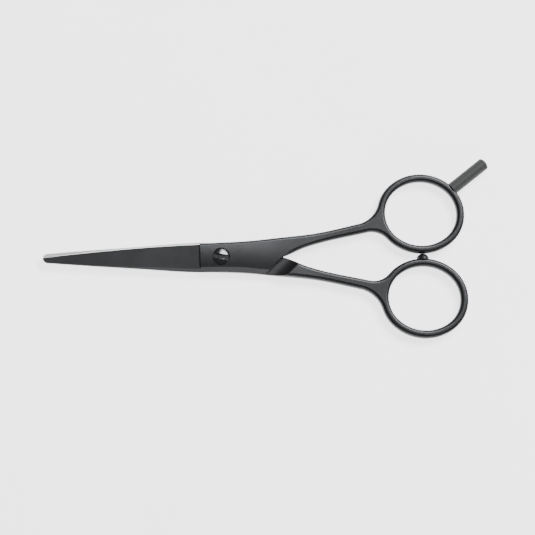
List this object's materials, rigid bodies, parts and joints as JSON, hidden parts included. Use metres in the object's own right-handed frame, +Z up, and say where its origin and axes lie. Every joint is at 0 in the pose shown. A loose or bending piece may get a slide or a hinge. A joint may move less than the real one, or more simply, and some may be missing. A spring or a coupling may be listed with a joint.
{
  "type": "hair cutting shears",
  "caption": "Slim hair cutting shears with straight blades, offset oval finger rings, a screwed pivot, a rubber bumper and a finger rest.",
  "frame": {"origin": "on the pivot axis, at the flat end of the lock nut, the lowest face when the shears lie on their back", "axes": "+X from the tips towards the finger rings, +Y towards the ring with the finger rest, +Z up out of the screw head"},
  "size_m": [0.1485, 0.0601, 0.0048],
  "materials": {
    "coated_steel": "satin black coating on steel",
    "screw_steel": "glossy blackened steel",
    "washer_plastic": "natural white",
    "bush_brass": "turned",
    "bare_steel": "bright",
    "bumper_rubber": "smooth moulded"
  },
  "bodies": {
    "back_half": {"back_blade": "coated_steel", "back_handle": "coated_steel", "spring_washer": "bare_steel", "lock_nut": "screw_steel", "bumper": "bumper_rubber", "bumper_stud": "bare_steel"},
    "front_half": {"front_blade": "coated_steel", "front_handle": "coated_steel", "head_washer": "washer_plastic", "pivot_bush": "bush_brass"},
    "tension_screw": {"pivot_screw": "screw_steel"},
    "finger_rest": {"finger_rest": "coated_steel"}
  },
  "joints": [
    {"name": "pivot", "type": "hinge", "parent": "back_half", "child": "front_half", "pos_m": [0, 0, 0.00245], "axis": [0, 0, 1], "range_deg": [0, 110]},
    {"name": "tension_turn", "type": "hinge", "parent": "back_half", "child": "tension_screw", "pos_m": [0, 0, 0.00245], "axis": [0, 0, 1], "range_deg": [-90, 90]},
    {"name": "rest_unscrew", "type": "slide", "parent": "front_half", "child": "finger_rest", "axis": [0.7934, 0.6088, 0], "range_m": [0, 0.004]}
  ]
}
